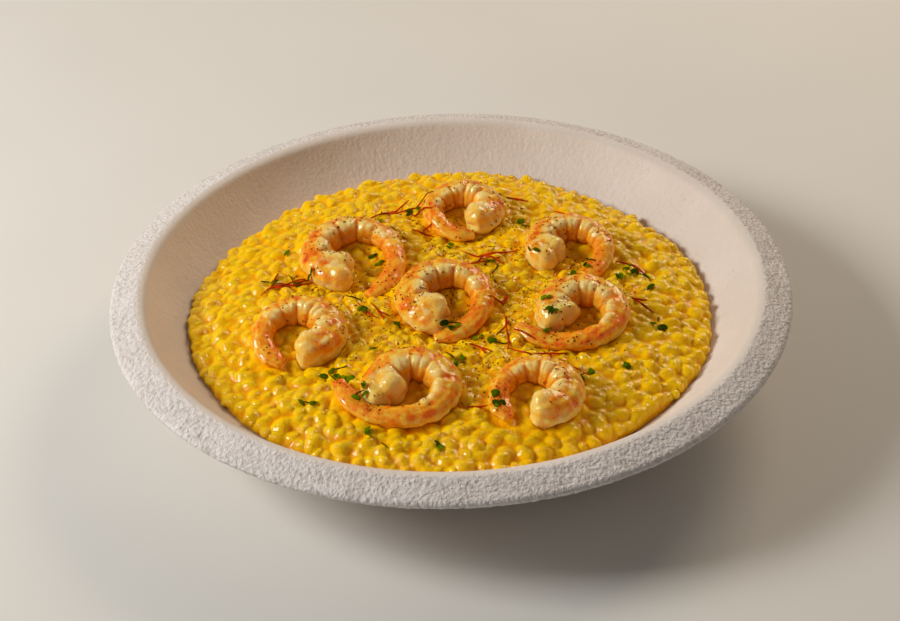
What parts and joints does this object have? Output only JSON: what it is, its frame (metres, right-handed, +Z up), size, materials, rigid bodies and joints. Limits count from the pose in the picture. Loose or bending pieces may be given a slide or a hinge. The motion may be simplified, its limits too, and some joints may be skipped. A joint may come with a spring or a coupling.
{
  "type": "shrimp risotto in a bowl",
  "caption": "Wide rimmed stoneware bowl of saffron risotto, topped with curled cooked shrimp, chopped herbs and saffron threads.",
  "frame": {"origin": "centre of the foot ring, on the table", "axes": "+Z up, the bowl's axis; -Y towards the diner; +X to the diner's right"},
  "size_m": [0.2798, 0.2798, 0.047],
  "materials": {
    "stoneware": "matt, pebbled off-white",
    "saffron_rice": "moist cooked rice in a saffron sauce",
    "cooked_shrimp": "moist cooked shrimp"
  },
  "bodies": {
    "root": {"bowl": "stoneware", "risotto": "saffron_rice", "shrimp_1": "cooked_shrimp", "shrimp_2": "cooked_shrimp", "shrimp_3": "cooked_shrimp", "shrimp_4": "cooked_shrimp", "shrimp_5": "cooked_shrimp", "shrimp_6": "cooked_shrimp", "shrimp_7": "cooked_shrimp", "shrimp_8": "cooked_shrimp"}
  },
  "joints": []
}
